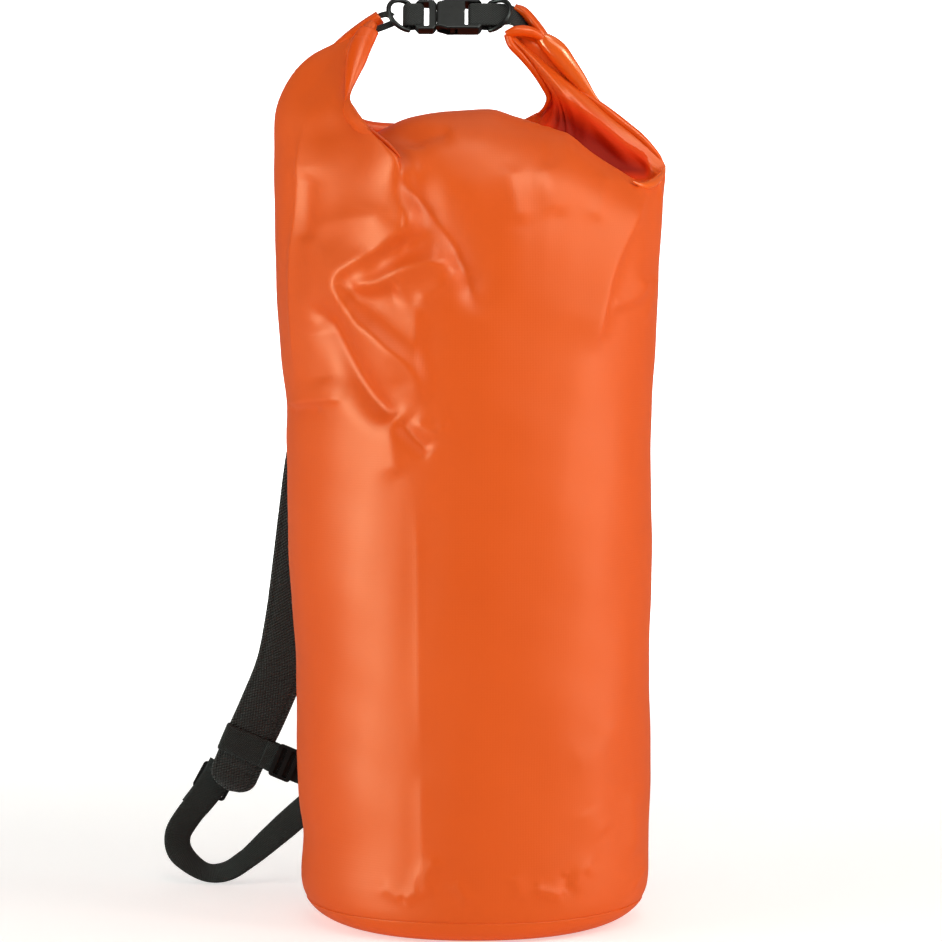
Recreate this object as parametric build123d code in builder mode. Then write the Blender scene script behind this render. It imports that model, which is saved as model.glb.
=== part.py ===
from build123d import *
from math import cos, radians, sin
import os

# A roll-top dry bag worn as a rucksack, standing on its round base.
# Units are millimetres. +Z is up, +X is to the right when the front panel is looked at,
# -Y is the front panel and +Y is the carrying side with the two shoulder straps.
# The origin is the centre of the base's underside.

os.makedirs("parts", exist_ok=True)

# ---- driving dimensions -------------------------------------------------
skin = 1.0                      # coated fabric with its bonded seams
base_radius = 151.0
base_rim = 40.0                 # the base panel is folded up this far and welded
base_corner = 34.0              # the packed base is rounded and stands on its middle
hem_level = 36.0                # the tube's hem ends here, inside the base panel
hem_margin = 2.0                # the tool that trims the hem is this much wider than the base
hem_inner = 123.0
seam_low = 41.0                 # the side seam runs between these two heights
seam_high = 625.0
seam_proud = 0.9                # the seam's lap stands this far off the tube
panel_proud = 1.1               # and the doubled panel on the back this far
bond_gap = 0.05
tube_levels = [                 # height, half width, half depth of the body tube
    (2.0, 149.0, 149.0),
    (230.0, 153.0, 153.0),
    (450.0, 158.0, 156.0),
    (640.0, 167.0, 147.0),
]
tube_top = tube_levels[-1][0]
mouth_level = 694.0             # where the flattened mouth starts to be rolled

webbing = 25.0                  # width of every flat webbing
webbing_thick = 1.5
closure_height = 780.0          # middle of the buckle above the floor
closure_tilt = 38.0             # the buckle's face looks up by this much
pad_width = 48.0
pad_thick = 9.0


def save(part, name):
    part.label = name
    export_step(part, f"parts/{name}.step")


def tube_faces(grow):
    """One ellipse at each level of the body tube, grown by a margin."""
    faces = []
    for level, half_width, half_depth in tube_levels:
        with BuildSketch(Plane.XY.offset(level)) as ellipse:
            Ellipse(half_width + grow, half_depth + grow)
        faces.append(ellipse.sketch.face())
    return faces


# ---- bag shell ----------------------------------------------------------
with BuildPart() as base_panel:
    with BuildSketch(Plane.XZ):
        with BuildLine():
            FilletPolyline(
                (0, 0), (base_radius, 0), (base_radius, base_rim), radius=base_corner
            )
            Line((base_radius, base_rim), (base_radius - skin, base_rim))
            FilletPolyline(
                (base_radius - skin, base_rim),
                (base_radius - skin, skin),
                (0, skin),
                radius=base_corner - skin,
            )
            Line((0, skin), (0, 0))
        make_face()
    revolve(axis=Axis.Z)
save(base_panel.part, "base_panel")

with BuildPart() as body_tube:
    loft(tube_faces(0))
    loft(tube_faces(-skin), mode=Mode.SUBTRACT)
    # the hem is trimmed round so that it sits inside the rounded base panel
    with BuildSketch(Plane.XZ):
        with BuildLine():
            Polyline(
                (base_radius + hem_margin, 0),
                (base_radius + hem_margin, hem_level),
                (hem_inner, hem_level),
                (hem_inner, 0),
                close=True,
            )
        make_face()
    revolve(axis=Axis.Z, mode=Mode.SUBTRACT)
save(body_tube.part, "body_tube")

shoulder_levels = [             # height, x and y of the middle, half width, half depth
    (tube_top, 0.0, 0.0, 167.0, 147.0),
    (672.0, -5.0, -3.0, 164.0, 118.0),
    (mouth_level, -17.0, -6.0, 150.0, 62.0),
]
with BuildPart() as top_shoulder:
    for level, middle_x, middle_y, half_width, half_depth in shoulder_levels:
        with BuildSketch(Plane.XY.offset(level)):
            with Locations((middle_x, middle_y)):
                Ellipse(half_width, half_depth)
    loft()
    for level, middle_x, middle_y, half_width, half_depth in shoulder_levels:
        with BuildSketch(Plane.XY.offset(min(level, mouth_level - skin))):
            with Locations((middle_x, middle_y)):
                Ellipse(half_width - skin, half_depth - skin)
    loft(mode=Mode.SUBTRACT)
save(top_shoulder.part, "top_shoulder")

# the welded lap of the tube, a strip down its left edge
with BuildPart() as side_seam:
    loft(tube_faces(seam_proud))
    loft(tube_faces(bond_gap), mode=Mode.SUBTRACT)
    with Locations((-157, 10, (seam_low + seam_high) / 2)):
        Box(40, 22, seam_high - seam_low, mode=Mode.INTERSECT)
save(side_seam.part, "side_seam")

# the doubled panel welded on the carrying side, which holds the strap anchors
with BuildPart() as back_panel:
    loft(tube_faces(panel_proud))
    loft(tube_faces(bond_gap), mode=Mode.SUBTRACT)
    with Locations((0, 140, 350)):
        Box(236, 120, 560, mode=Mode.INTERSECT)
save(back_panel.part, "back_panel")

# ---- rolled mouth -------------------------------------------------------
roll_left = -96.0
roll_right = 78.0
roll_thick = 9.0
roll_depth = 36.0
stiffener_thick = 0.8
with BuildPart() as mouth_roll:
    with BuildSketch(Plane.YZ.offset(roll_left)):
        with Locations((14, mouth_level + roll_thick / 2 + 0.1)):
            SlotOverall(roll_depth, roll_thick)
            SlotOverall(roll_depth - 6, 3 * stiffener_thick, mode=Mode.SUBTRACT)
    extrude(amount=roll_right - roll_left)
save(mouth_roll.part, "mouth_roll")

with BuildPart() as mouth_stiffeners:
    for side in (-1, 1):
        with Locations(
            (
                (roll_left + roll_right) / 2,
                14,
                mouth_level + roll_thick / 2 + 0.1 + side * 0.55,
            )
        ):
            Box(roll_right - roll_left - 6, 26, stiffener_thick)
save(mouth_stiffeners.part, "mouth_stiffeners")

# closure frame: x along the bag's width, y up its tilted face, z out of the face
closure = Plane(
    origin=(0, 0, closure_height),
    x_dir=(1, 0, 0),
    z_dir=(0, -cos(radians(closure_tilt)), sin(radians(closure_tilt))),
)
across_closure = Plane(origin=(0, 0, closure_height), x_dir=(1, 0, 0), z_dir=closure.y_dir)

loop_half = 2.5                 # inside half height of a webbing loop
left_loop_span = (-92.0, -42.4)
right_loop_span = (-3.4, 47.0)


def webbing_loop(span):
    """The side view of a loop of webbing, two plies with room for bars between them."""
    length = span[1] - span[0]
    with BuildSketch(across_closure.offset(-webbing / 2)) as loop:
        with Locations(((span[0] + span[1]) / 2, 0)):
            SlotOverall(length, 2 * (loop_half + webbing_thick))
            SlotOverall(length - 2 * webbing_thick, 2 * loop_half, mode=Mode.SUBTRACT)
    return loop.sketch


def loop_pocket(span):
    """The side view of the room that a webbing loop takes inside the rolled fabric."""
    length = span[1] - span[0]
    with BuildSketch(across_closure.offset(-webbing / 2 - 0.5)) as pocket:
        with Locations(((span[0] + span[1]) / 2, 0)):
            SlotOverall(length + 1, 2 * (loop_half + webbing_thick) + 1)
    return pocket.sketch


ring_path_low = -2.7            # the left ring passes the roll between these two heights
ring_path_high = 15.5


def ring_path():
    """The room in the left roll that its ring needs when the buckle is let go."""
    with BuildSketch(closure.offset(ring_path_low)) as path:
        with Locations((-80, 0)):
            Rectangle(40, 37)
    return path.sketch


# each end of the mouth is drawn up to the buckle as a tapering roll
mouth_ends = {
    "left_mouth_end": [
        ((-134, -2, mouth_level + 0.2), (0, 0, 1), (66, 60), 16),
        ((-113, 0, 742), (0.55, 0, 0.835), (44, 44), 10),
        ((-79, 0, closure_height - 1), (0.8, -0.2, 0.56), (15, 30), 4),
    ],
    "right_mouth_end": [
        ((110, -2, mouth_level + 0.2), (0, 0, 1), (46, 60), 12),
        ((82, 0, 738), (-0.55, 0, 0.835), (30, 46), 8),
        ((40, 0, closure_height - 2), (-0.8, -0.2, 0.56), (17, 31), 4),
    ],
}
for name, stations in mouth_ends.items():
    with BuildPart() as mouth_end:
        for place, normal, size, corner in stations:
            with BuildSketch(Plane(origin=place, x_dir=(normal[2], 0, -normal[0]), z_dir=normal)):
                RectangleRounded(*size, corner)
        loft()
        span = left_loop_span if name.startswith("left") else right_loop_span
        extrude(loop_pocket(span), amount=webbing + 1, mode=Mode.SUBTRACT)
        if name == "left_mouth_end":
            extrude(ring_path(), amount=ring_path_high, mode=Mode.SUBTRACT)
    save(mouth_end.part, name)

# ---- closure webbing, rings and side-release buckle ----------------------
with BuildPart() as left_closure_webbing:
    extrude(webbing_loop(left_loop_span), amount=webbing)
save(left_closure_webbing.part, "left_closure_webbing")

with BuildPart() as right_closure_webbing:
    extrude(webbing_loop(right_loop_span), amount=webbing)
save(right_closure_webbing.part, "right_closure_webbing")

ring_wire = 4.2
ring_half = 15.4                # middle of the ring's bar to the middle of each limb
ring_depth = 19.5
ring_lean = radians(30)         # the bow rests on the webbing's front ply
ring_bars = {"left_d_ring": (-55.5, -1), "right_d_ring": (15.0, 1)}
for name, (bar_x, side) in ring_bars.items():
    ring_plane = Plane(
        origin=closure.from_local_coords(Vector(bar_x, 0, 0)),
        x_dir=closure.x_dir * (side * cos(ring_lean)) + closure.z_dir * sin(ring_lean),
        z_dir=closure.z_dir * (side * cos(ring_lean)) - closure.x_dir * sin(ring_lean),
    )
    with BuildPart() as d_ring:
        with BuildLine(ring_plane):
            bow = ThreePointArc((0, -ring_half), (ring_depth, 0), (0, ring_half))
            bar = Line((0, ring_half), (0, -ring_half))
        with BuildSketch(Plane(origin=bow @ 0, z_dir=bow % 0)):
            Circle(ring_wire / 2)
        sweep(path=bow)
        with BuildSketch(Plane(origin=bar @ 0, z_dir=bar % 0)):
            Circle(ring_wire / 2)
        sweep(path=bar)
        with Locations(bar @ 0, bar @ 1):
            Sphere(ring_wire / 2)
    save(d_ring.part, name)

# The buckle halves are drawn lying flat: x towards the housing's webbing, z out of the
# face. The same two shapes serve the closure and the chest strap.
buckle_half = 17.0              # half width of the buckle
shell_half = 5.2                # half thickness of the housing
plug_half = 4.0
mouth_x = -31.0                 # the housing's mouth
gap_half = 3.1                  # half height of the slot that the prongs run in
bar_half = 2.0                  # half thickness of the bars that carry webbing
bar_left = -49.5

with BuildPart() as buckle_housing:
    with BuildSketch(Plane.XY.offset(-shell_half)):
        with BuildLine():
            FilletPolyline(
                (mouth_x, -13.5), (mouth_x + 9, -buckle_half), (5, -buckle_half),
                (8.5, -12), (8.5, 12), (5, buckle_half), (mouth_x + 9, buckle_half),
                (mouth_x, 13.5), radius=2.0, close=True,
            )
        make_face()
    extrude(amount=2 * shell_half)
    fillet(edges().group_by(Axis.Z)[0] + edges().group_by(Axis.Z)[-1], 1.6)
    # the prongs' slot, open along both sides as on a side-release buckle
    with BuildSketch(Plane.XY.offset(-gap_half)):
        with Locations(((mouth_x - 13) / 2 - 1, 0)):
            Rectangle(abs(mouth_x + 13) + 2, 40)
        with Locations(((mouth_x - 7.5) / 2 - 1, 0)):
            Rectangle(abs(mouth_x + 7.5) + 2, 16)
    extrude(amount=2 * gap_half, mode=Mode.SUBTRACT)
    # the webbing slot and the thinned bar behind it
    with BuildSketch(Plane.XY.offset(-10)):
        with Locations((-3.6, 0)):
            RectangleRounded(6.4, webbing + 2, 1)
    extrude(amount=20, mode=Mode.SUBTRACT)
    with BuildSketch(Plane.XY.offset(bar_half), Plane.XY.offset(-bar_half - 8)):
        with Locations((6, 0)):
            Rectangle(13, webbing + 1.4)
    extrude(amount=8, mode=Mode.SUBTRACT)

with BuildPart() as buckle_plug:
    with BuildSketch(Plane.XY.offset(-plug_half)):
        with BuildLine():
            FilletPolyline(
                (mouth_x - 0.4, -13), (mouth_x - 3, -buckle_half), (bar_left + 3, -buckle_half),
                (bar_left, -13), (bar_left, 13), (bar_left + 3, buckle_half),
                (mouth_x - 3, buckle_half), (mouth_x - 0.4, 13), radius=1.6, close=True,
            )
        make_face()
    extrude(amount=2 * plug_half)
    fillet(edges().group_by(Axis.Z)[0] + edges().group_by(Axis.Z)[-1], 1.2)
    with BuildSketch(Plane.XY.offset(-10)):
        with Locations((-41.3, 0)):
            RectangleRounded(7.4, webbing + 2, 1)
    extrude(amount=20, mode=Mode.SUBTRACT)
    with BuildSketch(Plane.XY.offset(bar_half), Plane.XY.offset(-bar_half - 8)):
        with Locations((bar_left + 1, 0)):
            Rectangle(11, webbing + 1.4)
    extrude(amount=8, mode=Mode.SUBTRACT)
    # centre tongue and the two sprung prongs with their barbs
    with BuildSketch(Plane.XY.offset(-2.4)):
        with Locations((-22, 0)):
            RectangleRounded(27, 9, 2)
        for side in (-1, 1):
            with BuildLine():
                Polyline(
                    (-36, side * 12.6), (-17, side * 13.2), (-19.5, side * 16.8),
                    (-15.5, side * 16.4), (-13.6, side * 12), (-16, side * 9.2), (-36, side * 9.6),
                    close=True,
                )
            make_face()
    extrude(amount=4.8)

save(buckle_housing.part.moved(closure.location), "buckle_housing")
save(buckle_plug.part.moved(closure.location), "buckle_plug")

# ---- strap anchors on the back panel ------------------------------------
# name: x, y of the panel's surface there, height
anchor_spots = {
    "left_top_anchor": (-64.0, 137.9, 622.0),
    "right_top_anchor": (70.0, 135.4, 622.0),
    "left_low_anchor": (-98.0, 116.8, 118.0),
    "right_low_anchor": (88.0, 124.5, 118.0),
}
plate = (34.0, 30.0, 1.8)
anchor_gap = 1.9                # a flat plate on a round panel touches only at its edges
stub_length = 6.0
for name, (x, y, z) in anchor_spots.items():
    outward = Vector(x, y * 1.08, 0).normalized()
    tab_plane = Plane(origin=(x, y, z), x_dir=(outward.Y, -outward.X, 0), z_dir=outward)
    with BuildPart() as anchor:
        with BuildSketch(tab_plane.offset(anchor_gap)):
            RectangleRounded(plate[0], plate[1], 4)
        extrude(amount=plate[2])
        # the folded end of webbing that stands off the plate
        with BuildSketch(tab_plane.offset(anchor_gap)):
            Rectangle(webbing, 3)
        extrude(amount=stub_length)
    save(anchor.part, name)

# ---- shoulder straps ----------------------------------------------------
# Each strap: a short top webbing, a padded strap, a ladder lock on a tab at the pad's
# lower end, and a lower webbing that runs back to its anchor. Half of the chest strap
# is looped round each pad. The left strap lies swung out to the side, flat to the
# front; the right one hangs down behind the bag.
hang = 174.0                    # y of the left pad's middle
left_top = Vector(-64, 156, 600)
left_low = Vector(-100, 129, 112)
right_top = Vector(70, 154, 600)
right_x = 76.0                  # middle of the right pad
backward = Vector(0, 1, 0)


def ribbon(points, toward):
    """Flat webbing along straight runs; its broad face looks along toward."""
    runs = []
    for start, end in zip(points, points[1:]):
        along = (end - start).normalized()
        face = (toward - along * toward.dot(along)).normalized()
        with BuildSketch(Plane(origin=(start + end) / 2, x_dir=along, z_dir=face)) as run:
            SlotCenterToCenter((end - start).length, webbing)
        runs.append(run.sketch)
    return runs


def side_ribbon(points, radius, thick):
    """The side view, in the YZ plane, of a ribbon whose width runs along X."""
    with BuildSketch(Plane.YZ) as profile:
        with BuildLine():
            route = FilletPolyline(*points, radius=radius)
        trace(route, line_width=thick)
    return profile.sketch


with BuildPart() as left_pad:
    with BuildSketch(Plane.XZ.offset(-hang - pad_thick / 2)):
        with BuildLine():
            route = FilletPolyline(
                (-70, 588), (-94, 530), (-139, 440), (-159, 300), (-178, 190), (-220, 92),
                radius=110,
            )
        trace(route, line_width=pad_width)
    extrude(amount=pad_thick)
save(left_pad.part, "left_pad")

with BuildPart() as right_pad:
    pad_side = side_ribbon(
        [(174, 588), (200, 500), (218, 380), (224, 260), (213, 150), (206, 92)], 120, pad_thick
    )
    extrude(pad_side.moved(Location((right_x - pad_width / 2, 0, 0))), amount=pad_width)
save(right_pad.part, "right_pad")

top_webbings = {
    "left_top_webbing": [left_top + Vector(0, 0.5, 0), Vector(-66.5, 159, 597)],
    "right_top_webbing": [right_top + Vector(0, 0.5, 0), Vector(72, 159, 596)],
}
for name, points in top_webbings.items():
    with BuildPart() as top_webbing:
        for run in ribbon(points, backward):
            extrude(run, amount=-webbing_thick)
    save(top_webbing.part, name)

with BuildPart() as left_lower_webbing:
    left_turns = [
        Vector(-247, 185, 78), Vector(-266, 180, 44), Vector(-250, 172, 17.5),
        left_low + Vector(-9, 3, -5),
    ]
    for run in ribbon(left_turns, backward):
        extrude(run, amount=webbing_thick / 2, both=True)
save(left_lower_webbing.part, "left_lower_webbing")

with BuildPart() as right_lower_webbing:
    lower_side = side_ribbon(
        [(193, 84), (199, 44), (186, 9), (166, 12), (146, 112)], 9, webbing_thick
    )
    extrude(lower_side.moved(Location((80 - webbing / 2, 0, 0))), amount=webbing)
save(right_lower_webbing.part, "right_lower_webbing")

# ladder locks, drawn flat with y along the webbing
lock_width = 33.0
lock_length = 27.0
lock_thick = 4.0
lock_places = {
    "left_ladder_lock": Plane(
        origin=(-238, 187.5, 92), x_dir=(0.88, 0, -0.475), z_dir=(0, 1, 0)
    ),
    "right_ladder_lock": Plane(origin=(80, 190, 92), x_dir=(1, 0, 0), z_dir=(0, -1, 0)),
}
for name, place in lock_places.items():
    with BuildPart() as ladder_lock:
        with BuildSketch(place):
            RectangleRounded(lock_width, lock_length, 4)
            with Locations((0, 8), (0, -0.5), (0, -8.5)):
                Rectangle(webbing + 1, 4.6, mode=Mode.SUBTRACT)
        extrude(amount=lock_thick)
    save(ladder_lock.part, name)

# ---- chest strap halves --------------------------------------------------
# A sleeve of webbing round each pad, and a hanging half with its slider and its half
# of the buckle. Each half is drawn flat: x along the strap away from the pad, z towards
# the slider's side.
sleeve_inside = (pad_width + 4.0, pad_thick + 0.9)
droop = radians(23)
chest_pads = {
    "left_chest_loop": Plane(
        origin=(-204.6, hang, 126), x_dir=(cos(droop), 0, -sin(droop)), z_dir=(0.39, 0, 0.92)
    ),
    "right_chest_loop": Plane(origin=(right_x, 218.5, 205), x_dir=(1, 0, 0), z_dir=(0, 0.1, 1)),
}
for name, place in chest_pads.items():
    with BuildPart() as chest_loop:
        with BuildSketch(place.offset(-webbing / 2)):
            RectangleRounded(
                sleeve_inside[0] + 2 * webbing_thick, sleeve_inside[1] + 2 * webbing_thick, 4
            )
            RectangleRounded(sleeve_inside[0], sleeve_inside[1], 2.5, mode=Mode.SUBTRACT)
        extrude(amount=webbing)
    save(chest_loop.part, name)

half_length = 66.0
chest_halves = {
    "left": Plane(
        origin=(-181, 166.2, 116), x_dir=(cos(droop), 0, -sin(droop)), z_dir=(0, -1, 0)
    ),
    "right": Plane(origin=(44, 226.4, 205), x_dir=(0, 0, -1), z_dir=(0, 1, 0)),
}
for side, place in chest_halves.items():
    with BuildPart() as chest_webbing:
        with BuildSketch(place):
            with Locations((half_length / 2, 0)):
                SlotCenterToCenter(half_length, webbing)
        extrude(amount=webbing_thick)
    save(chest_webbing.part, f"{side}_chest_webbing")
    with BuildPart() as chest_slider:
        with BuildSketch(place.offset(webbing_thick + 0.4)):
            with Locations((10, 0)):
                RectangleRounded(21, 31, 3)
            with Locations((5.6, 0), (14.4, 0)):
                Rectangle(4.8, webbing + 1, mode=Mode.SUBTRACT)
        extrude(amount=3.4)
    save(chest_slider.part, f"{side}_chest_slider")

plug_gap = half_length + webbing / 2 + 0.4
plug_seat = chest_halves["left"].location * Location((plug_gap - bar_left, 0, 0.75))
save(buckle_plug.part.moved(plug_seat), "chest_plug")
housing_seat = chest_halves["right"].location * Location((plug_gap + 8.5, 0, 0.75), (0, 0, 180))
save(buckle_housing.part.moved(housing_seat), "chest_housing")
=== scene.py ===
import math

import bpy
import numpy as np
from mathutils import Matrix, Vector


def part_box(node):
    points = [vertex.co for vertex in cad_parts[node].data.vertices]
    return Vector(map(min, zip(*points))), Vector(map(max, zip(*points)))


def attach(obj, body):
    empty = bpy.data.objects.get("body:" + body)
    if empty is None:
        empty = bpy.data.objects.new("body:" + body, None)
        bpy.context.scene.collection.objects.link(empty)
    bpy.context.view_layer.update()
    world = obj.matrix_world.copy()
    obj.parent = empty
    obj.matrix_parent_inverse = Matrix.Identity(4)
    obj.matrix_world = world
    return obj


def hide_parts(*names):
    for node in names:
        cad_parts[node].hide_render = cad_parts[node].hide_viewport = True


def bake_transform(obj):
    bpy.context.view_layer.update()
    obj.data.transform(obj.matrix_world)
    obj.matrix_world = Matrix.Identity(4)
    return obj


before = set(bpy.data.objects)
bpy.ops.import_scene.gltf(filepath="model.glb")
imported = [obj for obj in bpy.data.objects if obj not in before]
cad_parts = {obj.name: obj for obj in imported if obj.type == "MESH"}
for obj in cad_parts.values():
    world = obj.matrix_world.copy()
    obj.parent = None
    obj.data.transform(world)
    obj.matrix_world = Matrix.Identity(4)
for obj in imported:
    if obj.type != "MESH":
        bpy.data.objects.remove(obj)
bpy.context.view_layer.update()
MM = 0.001                      # shapes below are in millimetres, Blender's unit is the metre


# ---- lines, grids and meshes ---------------------------------------------
def smooth_line(points, count):
    """A centripetal Catmull-Rom line through the points, at even spacing along its length."""
    p = np.array(points, float)
    p = np.vstack([2 * p[0] - p[1], p, 2 * p[-1] - p[-2]])
    out = []
    for a, b, c, d in zip(p, p[1:], p[2:], p[3:]):
        t0 = 0.0
        t1 = t0 + max(np.linalg.norm(b[:3] - a[:3]) ** 0.5, 1e-6)
        t2 = t1 + max(np.linalg.norm(c[:3] - b[:3]) ** 0.5, 1e-6)
        t3 = t2 + max(np.linalg.norm(d[:3] - c[:3]) ** 0.5, 1e-6)
        t = np.linspace(t1, t2, 20, endpoint=False)[:, None]
        ab = (t1 - t) / (t1 - t0) * a + (t - t0) / (t1 - t0) * b
        bc = (t2 - t) / (t2 - t1) * b + (t - t1) / (t2 - t1) * c
        cd = (t3 - t) / (t3 - t2) * c + (t - t2) / (t3 - t2) * d
        abc = (t2 - t) / (t2 - t0) * ab + (t - t0) / (t2 - t0) * bc
        bcd = (t3 - t) / (t3 - t1) * bc + (t - t1) / (t3 - t1) * cd
        out.append((t2 - t) / (t2 - t1) * abc + (t - t1) / (t2 - t1) * bcd)
    line = np.vstack(out + [p[-2][None, :]])
    step = np.linalg.norm(np.diff(line[:, :3], axis=0), axis=1)
    along = np.concatenate([[0], np.cumsum(step)])
    want = np.linspace(0, along[-1], count)
    return np.stack([np.interp(want, along, line[:, i]) for i in range(line.shape[1])], axis=1)


def length_of(line):
    return float(np.linalg.norm(np.diff(line[:, :3], axis=0), axis=1).sum())


def unit(v):
    v = np.asarray(v, float)
    return v / np.maximum(np.linalg.norm(v, axis=-1, keepdims=True), 1e-9)


def grid_object(name, grid, material, closed=False, uv=None, caps=False):
    """A mesh from rows of points in millimetres. closed joins the last column to the first."""
    rows, cols, _ = grid.shape
    verts = (grid.reshape(-1, 3) * MM).tolist()
    r = np.arange(rows - 1)[:, None]
    c = np.arange(cols if closed else cols - 1)[None, :]
    c1 = (c + 1) % cols
    faces = np.stack(
        [r * cols + c, r * cols + c1, (r + 1) * cols + c1, (r + 1) * cols + c], axis=-1
    ).reshape(-1, 4).tolist()
    if caps:
        faces.append(list(range(cols))[::-1])
        faces.append([(rows - 1) * cols + i for i in range(cols)])
    mesh = bpy.data.meshes.new(name)
    mesh.from_pydata(verts, [], faces)
    if uv is not None:
        layer = mesh.uv_layers.new(name="UVMap")
        index = np.zeros(len(mesh.loops), np.int64)
        mesh.loops.foreach_get("vertex_index", index)
        flat = uv.reshape(-1, 2).astype(np.float32)
        data = flat[index]
        if closed:
            # the last column's faces run on past the edge of the map instead of back across it
            quads = (rows - 1) * cols
            corner = np.tile([0, 1, 1, 0], quads)
            column = np.tile(np.repeat(np.arange(cols), 4), rows - 1)
            wrap = (corner == 1) & (column == cols - 1)
            data[: quads * 4, 0][wrap] += float(flat[cols - 1, 0] + (flat[1, 0] - flat[0, 0]))
        layer.data.foreach_set("uv", data.ravel())
    mesh.validate()
    mesh.shade_smooth()
    obj = bpy.data.objects.new(name, mesh)
    bpy.context.scene.collection.objects.link(obj)
    mesh.materials.append(material)
    return obj


def walked(line):
    """Distance along the line at each of its points."""
    return np.concatenate([[0], np.cumsum(np.linalg.norm(np.diff(line[:, :3], axis=0), axis=1))])


def frames_along(line, wide):
    """Unit vectors along, across and out of a band whose width points along wide."""
    along = unit(np.gradient(line[:, :3], axis=0))
    across = unit(wide - along * np.sum(wide * along, axis=1, keepdims=True))
    return along, across, np.cross(along, across)


def band_line(points, wides, count):
    """A line through the points that carries its width directions along."""
    line = smooth_line(np.hstack([np.array(points, float), unit(np.array(wides, float)) * 40]), count)
    return line, *frames_along(line, unit(line[:, 3:6]))


def band_map(line, side, half):
    """A band's UV in decimetres: across it, then along it."""
    uv = np.zeros((len(line), len(side), 2), np.float32)
    uv[..., 0] = side[None, :] * half[:, None] * MM * 10
    uv[..., 1] = walked(line)[:, None] * MM * 10
    return uv


def strap(name, points, wides, width, thick, material, edge=0.6, step=2.0, crown=0.0):
    """Flat webbing along points; wides gives its width direction at each point."""
    count = max(8, int(length_of(smooth_line(points, 80)) / step))
    line, along, across, out = band_line(points, wides, count)
    widths = [width, width] if np.isscalar(width) else width
    half = np.interp(np.linspace(0, 1, count), np.linspace(0, 1, len(widths)), widths) / 2
    side = np.concatenate([np.linspace(-1, 1, 15), np.linspace(1, -1, 15)])
    up = np.concatenate([np.ones(15), -np.ones(15)])
    rim = np.clip((1 - np.abs(side)) * half[:, None] / edge, 0, 1)
    lift = np.sqrt(1 - (1 - rim) ** 2) * 0.82 + 0.18
    grid = (line[:, None, :3]
            + across[:, None, :] * (side[None, :] * half[:, None])[..., None]
            + out[:, None, :] * (up * thick / 2 * lift + crown * (1 - side[None, :] ** 2))[..., None])
    return grid_object(name, grid, material, closed=True, uv=band_map(line, side, half), caps=True)


def tube(name, points, radii, material, flat=1.0, wide=(0, 1, 0), step=1.6, lump=0.0):
    """A soft roll along points; radii at each point, flat is depth over width."""
    joined = np.hstack([np.array(points, float), np.array(radii, float)[:, None]])
    count = max(10, int(length_of(smooth_line(points, 60)) / step))
    line = smooth_line(joined, count)
    along, across, out = frames_along(line, np.tile(unit(wide), (count, 1)))
    angle = np.linspace(0, 2 * np.pi, 28, endpoint=False)[None, :]
    s = np.linspace(0, 1, count)[:, None]
    radius = line[:, 3:4] * (1 + lump * np.sin(3 * angle + 9 * s) * np.sin(7 * s + 1))
    grid = (line[:, None, :3]
            + across[:, None, :] * (np.cos(angle) * radius * flat)[..., None]
            + out[:, None, :] * (np.sin(angle) * radius)[..., None])
    first, last = grid[0], grid[-1]
    shrink, push = (0.0, 0.55, 0.86), (0.5, 0.3, 0.05)
    start = [first.mean(0) + (first - first.mean(0)) * k + along[0] * p for k, p in zip(shrink, push)]
    end = [last.mean(0) + (last - last.mean(0)) * k for k in shrink[::-1]]
    return grid_object(name, np.concatenate([start, grid, end]), material, closed=True)


def join(name, objects):
    """One object from several."""
    for o in bpy.context.selected_objects:
        o.select_set(False)
    for o in objects:
        o.select_set(True)
    bpy.context.view_layer.objects.active = objects[0]
    bpy.ops.object.join()
    objects[0].name = name
    objects[0].data.name = name
    return objects[0]


# ---- materials -------------------------------------------------------------
class Shading:
    """A new material's node tree, with short calls for what the materials below share."""

    def __init__(self, name):
        self.material = bpy.data.materials.new(name)
        self.material.use_nodes = True
        self.tree = self.material.node_tree
        self.shader = self.tree.nodes["Principled BSDF"]

    def put(self, socket, value):
        """Link another node's output to a socket, or give the socket a constant."""
        if isinstance(value, bpy.types.NodeSocket):
            self.tree.links.new(value, socket)
        else:
            socket.default_value = value

    def surface(self, values):
        for name, value in values.items():
            self.put(self.shader.inputs[name], value)

    def math(self, operation, a, b=0.0):
        node = self.tree.nodes.new("ShaderNodeMath")
        node.operation = operation
        self.put(node.inputs[0], a)
        self.put(node.inputs[1], b)
        return node.outputs[0]

    def times(self, a, b):
        return self.math("MULTIPLY", a, b)

    def plus(self, a, b):
        return self.math("ADD", a, b)

    def sine(self, a):
        return self.math("SINE", a)

    def mix(self, factor, a, b):
        node = self.tree.nodes.new("ShaderNodeMix")
        node.data_type = "RGBA"
        for index, value in ((0, factor), (6, a), (7, b)):
            self.put(node.inputs[index], value)
        return node.outputs[2]

    def place(self, kind):
        """The texture coordinate and its three parts."""
        vector = self.tree.nodes.new("ShaderNodeTexCoord").outputs[kind]
        split = self.tree.nodes.new("ShaderNodeSeparateXYZ")
        self.put(split.inputs[0], vector)
        return vector, *split.outputs

    def noise(self, vector, scale, detail, roughness=0.5):
        node = self.tree.nodes.new("ShaderNodeTexNoise")
        for name, value in (("Vector", vector), ("Scale", scale), ("Detail", detail),
                            ("Roughness", roughness)):
            self.put(node.inputs[name], value)
        return node.outputs["Fac"]

    def bump(self, height, strength, distance):
        node = self.tree.nodes.new("ShaderNodeBump")
        for name, value in (("Height", height), ("Strength", strength), ("Distance", distance)):
            self.put(node.inputs[name], value)
        return node.outputs[0]


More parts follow.
